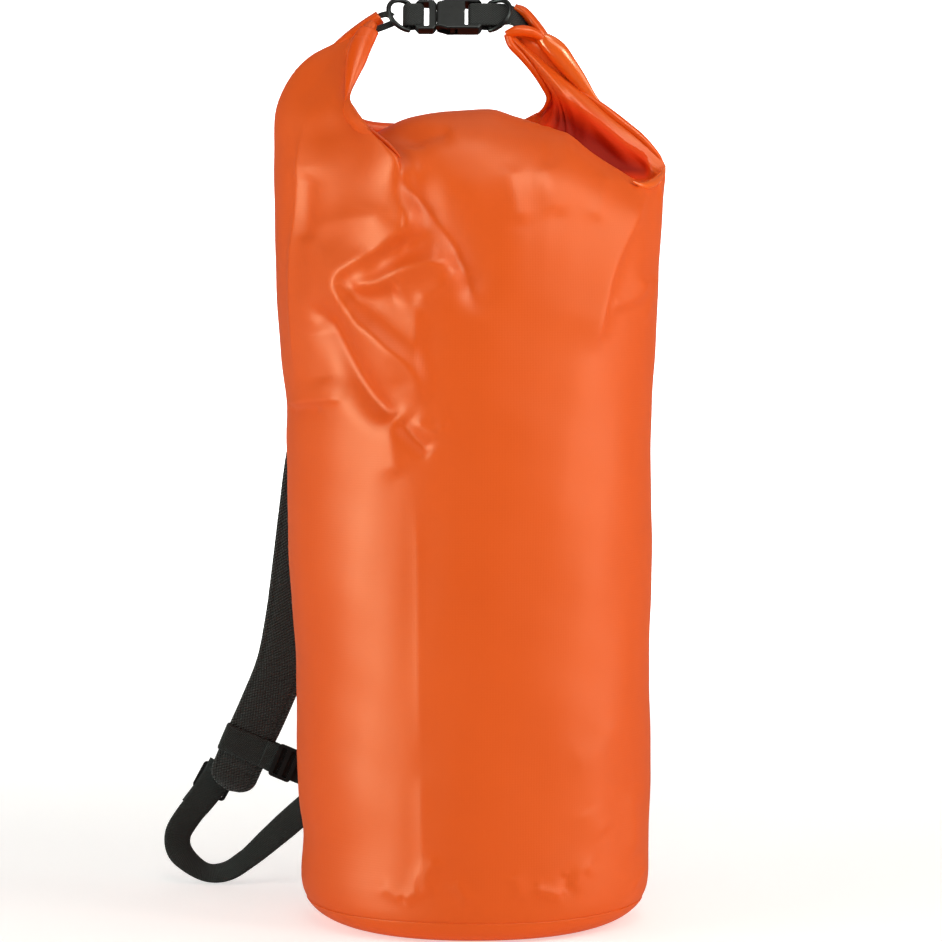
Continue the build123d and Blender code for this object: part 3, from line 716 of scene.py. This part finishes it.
# ---- rolled mouth --------------------------------------------------------------
rolled_mouth = join("rolled_mouth", [
    # the roll itself, from arm to arm behind the front bulge
    tube("roll_middle", [(-102, 4, 754), (-110, 9, 730), (-113, 13, 706), (-100, 17, 686), (-54, 20, 679),
                         (0, 20, 677), (40, 18, 681), (66, 15, 694), (92, 11, 694), (118, 7, 676)],
         [2.5, 5, 6.5, 8.5, 10, 10.5, 9.5, 7.5, 6, 3], orange_gloss, flat=0.8, lump=0.05),
    tube("roll_under", [(-114, 16, 724), (-113, 21, 702), (-94, 26, 682), (-50, 30, 671), (0, 30, 669),
                        (44, 27, 677), (80, 21, 686), (118, 13, 674)],
         [2.5, 4.5, 6.5, 8, 8, 7.5, 6, 3], orange_gloss, flat=0.8, lump=0.06),
    tube("left_fold_piping", [(-107.5, -62, 703), (-101, -76, 694), (-91, -94, 683), (-79, -110, 673),
                              (-68, -126, 664), (-60, -137, 655)],
         [1.2, 2.2, 2.6, 2.5, 1.9, 0.6], orange_gloss),
    # right arm: the rolled rim, the back lobe, the flap and the open end of the roll
    tube("right_rim", [(92, -4, 716), (104, -4, 708), (117, -4, 698), (131, -3.5, 687), (146, -3, 675),
                       (160, -1, 660), (165, 0, 653)],
         [1.2, 2.8, 3.8, 4.0, 3.6, 2.4, 0.8], orange_gloss),
    tube("right_lobe", [(54, 0, 766), (63, -3, 759), (72.5, -4, 750), (81.5, -4, 738.5), (92, -3, 725),
                        (102, -2, 712), (112, 0, 702)],
         [3.0, 7.2, 9.2, 8.4, 6.6, 4.2, 1.5], orange_glassy, flat=0.75, lump=0.02),
    tube("right_corner", [(135, -68, 637), (143, -58, 634), (151, -44, 635), (158, -28, 639.5),
                          (163, -12, 646), (166, -3, 652)],
         [0.5, 2.4, 3.8, 3.4, 2.2, 0.6], orange_glassy, flat=0.9),
    tube("right_inner", [(34, 0, 768), (46, 2, 758), (58, 3, 747), (74, 3, 733), (90, 2, 719)],
         [4.0, 8.5, 10.0, 9.0, 5.0], orange_gloss, flat=0.7, lump=0.05),
    tube("right_flap", [(28.5, -11, 764), (37, -11, 767), (48, -8, 767), (58, -4, 763), (66, -1, 757)],
         [3.2, 4.6, 4.8, 3.6, 1.5], orange_gloss, flat=1.2),
    tube("right_edge_fold", [(30, -9, 764), (33, -11, 756), (43, -12, 745), (53, -11, 733), (61, -8, 721),
                             (65.5, -4, 711), (63, 1, 703), (56, 8, 696)],
         [3.4, 3.6, 3.4, 3.2, 3.0, 2.4, 1.8, 1.0], orange_gloss, flat=1.4),
    tube("right_roll_end", [(36, 9, 789), (43, 9, 785.5), (51, 8, 777), (59, 6, 766), (68, 4, 752)],
         [3.0, 4.4, 4.8, 5.0, 4.0], orange_gloss, flat=2.4),
])
# left arm: the front lip and the end of the roll behind it, as a piece of their own
left_tip = join("left_mouth_tip", [
    tube("left_lip", [(-89, -20, 767), (-95.5, -30, 753), (-99.5, -40, 739), (-102.5, -49, 727),
                      (-105, -57, 716), (-107.5, -64, 704)],
         [8.8, 9.6, 8.6, 6.0, 3.4, 0.9], orange_gloss, flat=0.62, wide=(0.25, 1, 0)),
    tube("left_roll_end", [(-80, 3, 780), (-91, 3, 772), (-106, 2, 761), (-124, 2, 749)],
         [6.0, 6.8, 6.6, 3.5], orange_gloss, flat=1.7),
    tube("left_roll_front", [(-86, -8, 773), (-93, -12, 763), (-100, -14, 752), (-106, -12, 742),
                             (-110, -8, 734)],
         [4.5, 7.2, 8.4, 6.0, 2.0], orange, flat=1.7),
])
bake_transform(left_tip)
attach(rolled_mouth, "bag")
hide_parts("mouth_roll", "left_mouth_end", "right_mouth_end", "mouth_stiffeners")

# ---- closure webbing -------------------------------------------------------------
webbing = 25
tilt = math.radians(38)         # the buckle's face looks up by this much
face = np.array([0, -math.cos(tilt), math.sin(tilt)])
rise = np.array([0, math.sin(tilt), math.cos(tilt)])
centre = np.array([0, 0, 780.0])


def closure_point(x, w):
    """A point of the buckle's middle plane, w out of its face."""
    return tuple(centre + np.array([x, 0, 0]) + face * w)


def closure_loop(name, left, right):
    """A band of webbing that goes round two bars."""
    r = 3.3
    line = [(left + r, -r), ((left + right) / 2, -r * 0.9), (right - r, -r), (right - r * 0.3, -r * 0.7),
            (right, 0), (right - r * 0.3, r * 0.7), (right - r, r), ((left + right) / 2, r * 1.04),
            (left + r, r), (left + r * 0.3, r * 0.7), (left, 0), (left + r * 0.3, -r * 0.7), (left + r, -r)]
    points = [closure_point(x, w) for x, w in line]
    return strap(name, points, [rise] * len(points), webbing, 1.5, black_webbing, step=1.2)


left_closure_band = closure_loop("left_closure_band", -59.6, -42.6)
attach(left_closure_band, "closure_plug")
left_tails = join("left_closure_tails", [
    strap("tail_high", [(-118, 4, 752), (-98, 3, 768), (-84, -1, 779), (-74, -4, 782), (-69, -6, 780)],
          [rise + np.array([0.2, 0, 0])] * 5, [14, 12, 9, 7, 7], 1.6, smooth_webbing),
    strap("tail_low", [(-118, -2, 744), (-98, -8, 759), (-86, -10, 767), (-76, -9, 771), (-69, -7, 774)],
          [rise + np.array([-0.2, 0, 0])] * 5, [14, 12, 9, 7, 7], 1.6, smooth_webbing),
])
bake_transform(left_tails)
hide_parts("left_closure_webbing")

right_closure_band = join("right_closure_band", [
    closure_loop("right_loop", -3.4, 20.0),
    strap("right_tail", [closure_point(12, 3.4), closure_point(24, 3.2), closure_point(33, 2.2),
                         (42, 1, 775), (51, 2, 763)],
          [rise, rise, rise, rise + np.array([.3, 0, 0]), rise + np.array([.4, 0, 0])],
          [webbing, webbing, 22, 15, 9], 1.6, black_webbing),
])
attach(right_closure_band, "bag")
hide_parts("right_closure_webbing")

# ---- strap anchors ------------------------------------------------------------------
up = np.array([0, 0, 1.0])
u, v = np.meshgrid(np.linspace(-1, 1, 40), np.linspace(-1, 1, 40))
from_edge = np.maximum(np.abs(u), np.abs(v))
edge = np.clip(1 - from_edge, 0, 0.06) / 0.06
stitch = 0.35 * (np.abs(from_edge - 0.8) < 0.045)
patch_half, patch_high = 19, 18
for side, x0, depth, z0 in (("left_top", -64, 138.5, 622), ("right_top", 70, 136, 622),
                            ("left_low", -98, 117.5, 118), ("right_low", 88, 125, 118)):
    low_corner, high_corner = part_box(side + "_anchor")
    middle = np.array((low_corner + high_corner) / 2) * 1000
    outward = unit(np.array([middle[0], middle[1] * 1.08, 0]))
    sideways = np.array([outward[1], -outward[0], 0])
    spot = np.array([x0, depth, z0])
    plate = (spot + sideways * (u * patch_half)[..., None] + up * (v * patch_high)[..., None]
             + outward * (0.6 - (u * patch_half) ** 2 / 310 + 1.9 * np.sqrt(edge) - stitch)[..., None])
    patch = grid_object(side + "_patch", plate, orange)
    tab = join(side + "_tab", [
        strap(side + "_stub", [spot + outward * out for out in (1.0, 3.4, 5.8)], [sideways] * 3, webbing, 2.6,
              smooth_webbing, step=0.8),
        strap(side + "_tab", [spot + outward * 2.6 + up * 12, spot + outward * 2.9,
                              spot + outward * 2.6 - up * 12], [sideways] * 3, webbing, 1.6, smooth_webbing),
    ])
    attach(tab, "bag")
    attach(patch, "bag")
    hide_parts(side + "_anchor")


# ---- padded straps -------------------------------------------------------------------
def pad(name, points, wides):
    """A foam pad: crowned faces, a bound edge and two sewn channels along it."""
    width, thick, around_pad = 47.5, 9.0, 44
    line, along, across, out = band_line(points, wides, int(length_of(smooth_line(points, 200)) / 2.0))
    s = walked(line)
    to_end = s[-1] - s
    ends = np.minimum(s, to_end)
    half = width / 2 * np.sqrt(np.clip(1 - (1 - np.clip(ends / (width * 0.36), 0, 1)) ** 2.4, 0.02, 1))
    half *= 1 + 0.012 * np.sin(s / 23.0) - 0.07 * np.clip((150 - to_end) / 110, 0, 1)
    a = np.linspace(0, 2 * np.pi, around_pad, endpoint=False)
    sx, sy = (np.sign(part) * np.abs(part) ** 0.62 for part in (np.cos(a), np.sin(a)))
    from_middle = np.abs(sx)
    swell = 0.5 + 0.5 * (1 - from_middle ** 3.2)
    tape = np.exp(-((from_middle - 0.90) / 0.06) ** 2) * 0.10
    channel = np.exp(-((from_middle - 0.76) / 0.035) ** 2) * 0.22
    depth = thick / 2 * np.clip(ends / 7.0, 0.25, 1) ** 0.5
    grid = (line[:, None, :3]
            + across[:, None, :] * (sx[None, :] * half[:, None])[..., None]
            + out[:, None, :] * (sy * (swell + tape - channel) * depth[:, None])[..., None])
    # rows of stitches across both ends, and a soft unevenness
    dent = sum(deep * np.exp(-((at) / 2.0) ** 2) for deep, at in
               ((0.45, to_end - 22), (0.45, to_end - 42), (0.4, s - 20)))
    dent += 0.075 * np.sin(s / 11.0 + 0.7) * np.sin(s / 37.0)
    grid -= out[:, None, :] * (2.0 * dent[:, None] * sy * (from_middle < 0.85))[..., None]
    return grid_object(name, grid, pad_mesh, closed=True, uv=band_map(line, sx, half), caps=True)


left_route = [(-70, 174, 588), (-80, 174, 562), (-97, 174, 522), (-118, 174, 481), (-135, 174, 440),
              (-147, 174, 390), (-154, 174, 340), (-159, 174, 295), (-165, 174, 250), (-175, 174, 202),
              (-190.5, 174, 163), (-207.5, 174, 126), (-225, 174, 86)]
# the left pad's face stays square to the Y axis
left_along = unit(np.gradient(np.array(left_route, float), axis=0))
left_pad = pad("left_pad", left_route, np.cross(left_along, (0, 1, 0)))
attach(left_pad, "left_strap")
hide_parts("left_pad")

right_route = [(76, 175, 586), (76, 186, 545), (76, 199, 496), (76, 209, 440), (76, 216.5, 380),
               (76, 221, 320), (76, 222, 260), (76, 218, 200), (76, 212.5, 150), (76, 206.5, 94)]
right_pad = pad("right_pad", right_route, [(1, 0, 0)] * len(right_route))
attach(right_pad, "right_strap")
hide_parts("right_pad")

top_spots = {
    "left": ((-64, 140, 622), (-64, 150, 610), (-66, 160, 598), (-72, 168.4, 580), (-79, 168.6, 560)),
    "right": ((70, 138, 622), (70.5, 148, 609), (73, 160, 596), (76, 172.5, 576), (76, 179.5, 548)),
}
for side, points in top_spots.items():
    wide = (1, 0, 0) if side == "right" else (0.94, 0.05, -0.3)
    piece = strap(side + "_top_webbing_band", points, [(0.97, -0.2, 0)] + [wide] * 4, webbing, 1.6,
                  smooth_webbing)
    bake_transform(piece)
    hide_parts(side + "_top_webbing")

# ---- lower webbing, from the ladder locks to the low anchors ------------------------------
# its width fills the slot of each lock and slider, and narrows where the band is seen folded
left_lower = join("left_lower_band", [
    strap("left_strand", [(-229, 183.5, 108), (-238, 186.5, 92), (-250, 185.5, 75), (-262, 183, 60),
                          (-271, 181, 44), (-270, 179.5, 30), (-259, 177, 17.5), (-244, 173, 9.8),
                          (-226, 168, 11.5), (-207, 163, 23.5), (-183, 155, 45), (-150, 143.5, 75),
                          (-118, 131.5, 102), (-101, 123.5, 116)],
          [(.88, 0, -.47), (.86, 0, -.5), (.84, 0, -.54), (.86, .1, -.42), (.93, .2, -.05), (.8, .35, .35),
           (.45, .62, .55), (.05, .72, .62), (-.3, .55, .74), (-.5, .2, .84), (-.62, .1, .78),
           (-.62, .05, .78), (-.6, .1, .78), (-.6, .1, .78)],
          [27.6, 27.4, 24.5, 24.5, 24, 22, 20, 19, 22, 24, 24.5, 24.5, 24.5, 24.5], 1.6, smooth_webbing,
          step=1.6, crown=0.8),
    strap("left_tail_end", [(-231, 190.2, 103), (-239, 192.2, 92), (-249.5, 191.5, 78), (-258, 189, 67)],
          [(.88, 0, -.47)] * 4, 24.5, 1.5, smooth_webbing),
])
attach(left_lower, "left_strap")
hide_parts("left_lower_webbing")

right_lower = join("right_lower_band", [
    strap("right_strand", [(80, 201, 104), (80, 193.5, 92), (80, 195, 76), (80, 198.2, 58), (80, 197.6, 42),
                           (80, 193.5, 26), (80, 187, 13.5), (80, 177, 9.5), (80, 167.5, 14),
                           (80, 161, 34), (81, 154.5, 62), (83, 147.5, 88), (86, 138, 108), (88, 129, 118)],
          [(1, 0, 0)] * 11 + [(.9, -.35, 0)] * 3, 24.5, 1.6, smooth_webbing, step=1.6),
])
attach(right_lower, "right_strap")
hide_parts("right_lower_webbing")

# ---- chest strap ----------------------------------------------------------------------------
droop = math.radians(23)
chest = {
    "left": dict(middle=(-204.6, 174, 126), over=(math.cos(droop), 0, -math.sin(droop)),
                 out=(0, 1, 0), along=(0.39, 0, 0.92)),
    "right": dict(middle=(76, 218.5, 205), over=(1, 0, 0), out=(0, 0.995, -0.1), along=(0, 0.1, 1)),
}
for side, c in chest.items():
    m, e, o = np.array(c["middle"], float), unit(c["over"]), unit(c["out"])
    w, t = 26.2, 6.2            # half the sleeve's width and thickness
    outline = [(-w, 0), (-w + 1, t * 0.8), (-w * 0.7, t), (0, t * 1.04), (w * 0.7, t),
               (w - 1, t * 0.8), (w, 0), (w - 1, -t * 0.8), (w * 0.7, -t), (0, -t * 1.04),
               (-w * 0.7, -t), (-w + 1, -t * 0.8), (-w, 0)]
    points = [m + e * a + o * b for a, b in outline]
    loop = strap(side + "_chest_sleeve", points, [c["along"]] * len(points), webbing, 1.5, smooth_webbing,
                 step=1.2)
    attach(loop, side + "_strap")
    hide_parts(side + "_chest_loop")

halves = {"left": ((-181, 166.2, 116), (math.cos(droop), 0, -math.sin(droop)), (0, -1, 0)),
          "right": ((44, 226.4, 205), (0, 0, -1), (0, 1, 0))}
for side, (origin, along, normal) in halves.items():
    o, a, n = np.array(origin, float), unit(along), unit(normal)
    # distance along the band, height over its plane, width
    stations = [(-11.5, 0.75, 25), (0, 0.75, 27.4), (9, 0.8, 27.4), (20, 1.0, 26.5), (34, 1.2, 24.6),
                (50, 1.0, 24.6), (66, 0.8, 24.6), (78, 0.75, 24.6)]
    points = [o + a * s + n * h for s, h, _ in stations]
    band = strap(side + "_chest_band", points, [np.cross(a, n)] * len(points),
                 [w for _, _, w in stations], 1.5, smooth_webbing, crown=0.25)
    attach(band, side + "_chest")
    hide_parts(side + "_chest_webbing")

# ---- hardware keeps its CAD shape --------------------------------------------------------------
coats = ((("webbing", "loop", "anchor"), smooth_webbing), (("left_pad", "right_pad"), pad_mesh),
         (("ring", "buckle", "lock", "slider", "chest"), acetal), (("",), orange))
for name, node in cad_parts.items():
    node.data.materials.clear()
    node.data.materials.append(next(coat for words, coat in coats if any(word in name for word in words)))

# ---- stage, light and camera ---------------------------------------------------------------------
floor_line = smooth_line([(0, -6.0, -0.0005), (0, -2, -0.0005), (0, 2.0, -0.0005), (0, 4.0, -0.0005),
                          (0, 5.6, 0.15), (0, 6.6, 1.1), (0, 7.0, 2.6), (0, 7.1, 5.0)], 90)
floor_grid = np.stack([floor_line + np.array([dx, 0, 0]) for dx in np.linspace(-3.2, 3.2, 12)], axis=1) * 1000
# the floor's own glow grows with the distance from the bag, so that it meets the surround
white = Shading("pale_floor")
_, x, y, _ = white.place("Object")
glow = white.tree.nodes.new("ShaderNodeMapRange")
glow.interpolation_type = "SMOOTHSTEP"
for socket, value in (("Value", white.math("SQRT", white.plus(white.times(x, x), white.times(y, y)))),
                      ("From Min", 0.9), ("From Max", 3.4), ("To Min", 0.50), ("To Max", 0.93)):
    white.put(glow.inputs[socket], value)
white.surface({"Base Color": (0.74, 0.74, 0.74, 1), "Roughness": 0.9, "Specular IOR Level": 0.1,
               "Emission Color": (1, 1, 1, 1), "Emission Strength": glow.outputs["Result"]})
floor = grid_object("floor", floor_grid, white.material)
floor.visible_glossy = False
# beyond the floor: a wide pale bowl that only the camera sees
bowl_line = smooth_line([(0.5, 0, -0.006), (6.0, 0, -0.006), (8.2, 0, 0.1), (9.4, 0, 1.6), (9.8, 0, 9.0)], 40)
spin = np.linspace(0, 2 * math.pi, 60, endpoint=False)
bowl_grid = np.stack([bowl_line[:, :1] * np.cos(spin), bowl_line[:, :1] * np.sin(spin),
                      bowl_line[:, 2:] + 0 * spin], axis=-1) * 1000
pale = Shading("pale_surround")
pale.surface({"Base Color": (0, 0, 0, 1), "Specular IOR Level": 0.0, "Emission Strength": 0.98,
              "Emission Color": (1.0, 0.985, 0.965, 1)})
surround = grid_object("surround", bowl_grid, pale.material, closed=True)
for way in ("glossy", "diffuse", "shadow", "transmission"):
    setattr(surround, "visible_" + way, False)


def softbox(name, place, target, size, power, tint=(1, 1, 1), gloss_only=False):
    """A rectangular lamp in metres; gloss_only ones add highlights and no light."""
    data = bpy.data.lights.new(name, "AREA")
    data.shape = "RECTANGLE"
    data.size, data.size_y = size
    data.energy = power
    data.color = tint
    lamp = bpy.data.objects.new(name, data)
    lamp.location = place
    lamp.rotation_euler = (Vector(target) - Vector(place)).to_track_quat("-Z", "Y").to_euler()
    lamp.visible_diffuse = not gloss_only
    bpy.context.scene.collection.objects.link(lamp)


def feathered(name, place, target, size, power, tint, gloss_only=False):
    """A softbox whose edge fades: three of one centre, each larger and weaker than the last."""
    for k, (scale, share) in enumerate([(0.62, 0.26), (0.95, 0.42), (1.35, 0.32)]):
        softbox(f"{name}_{k}", place, target, [side * scale for side in size], power * share, tint,
                gloss_only)


warm = (1, 0.96, 0.86)
feathered("key", (-2.75, -1.25, 0.85), (0, 0, 0.45), (1.7, 2.5), 64, warm)
feathered("sheen", (-2.7, -1.3, 0.52), (0, 0, 0.32), (1.3, 1.9), 112, (0.70, 1.0, 0.88), gloss_only=True)
feathered("high_sheen", (1.8, -1.85, 2.2), (0, 0, 0.7), (1.4, 1.2), 48, (0.80, 1.0, 0.95), gloss_only=True)
feathered("right_sheen", (2.8, -0.7, 0.9), (0, 0, 0.5), (1.1, 2.2), 30, (0.75, 1.0, 0.9), gloss_only=True)
softbox("lobe_streak", (1.95, -2.1, 1.95), (0.08, 0, 0.74), (0.35, 0.9), 12, (0.9, 1.0, 1.0), gloss_only=True)
softbox("crown", (0.1, -1.4, 3.4), (0, 0, 0.7), (1.4, 0.8), 26, (0.9, 1.0, 0.95), gloss_only=True)
feathered("right", (2.9, -0.35, 0.9), (0, 0, 0.5), (1.4, 2.4), 54, warm)
feathered("high_right", (2.1, -1.6, 2.15), (0, 0, 0.5), (0.9, 0.7), 22, warm)
softbox("high_front", (0.4, -2.6, 2.9), (0, 0, 0.45), (2.2, 1.2), 24, warm)
softbox("top", (0.2, 0.2, 3.2), (0, 0.1, 0.4), (3.4, 2.6), 14, warm)
softbox("backdrop", (0, 2.6, 3.6), (0, 6.6, 1.2), (3, 1.2), 190)

world = bpy.data.worlds.new("studio")
world.use_nodes = True
background = world.node_tree.nodes["Background"]
background.inputs["Color"].default_value = (1, 1, 1, 1)
background.inputs["Strength"].default_value = 0.16
bpy.context.scene.world = world
bpy.context.scene.view_settings.view_transform = "Standard"

camera_data = bpy.data.cameras.new("camera")
camera_data.lens = 145.6
camera_data.sensor_width = 36
camera = bpy.data.objects.new("camera", camera_data)
camera.location = (-0.0015, -3.3, 0.564)
camera.rotation_euler = (Vector((-0.0015, 0, 0.388)) - camera.location).to_track_quat("-Z", "Y").to_euler()
bpy.context.scene.collection.objects.link(camera)
bpy.context.scene.camera = camera
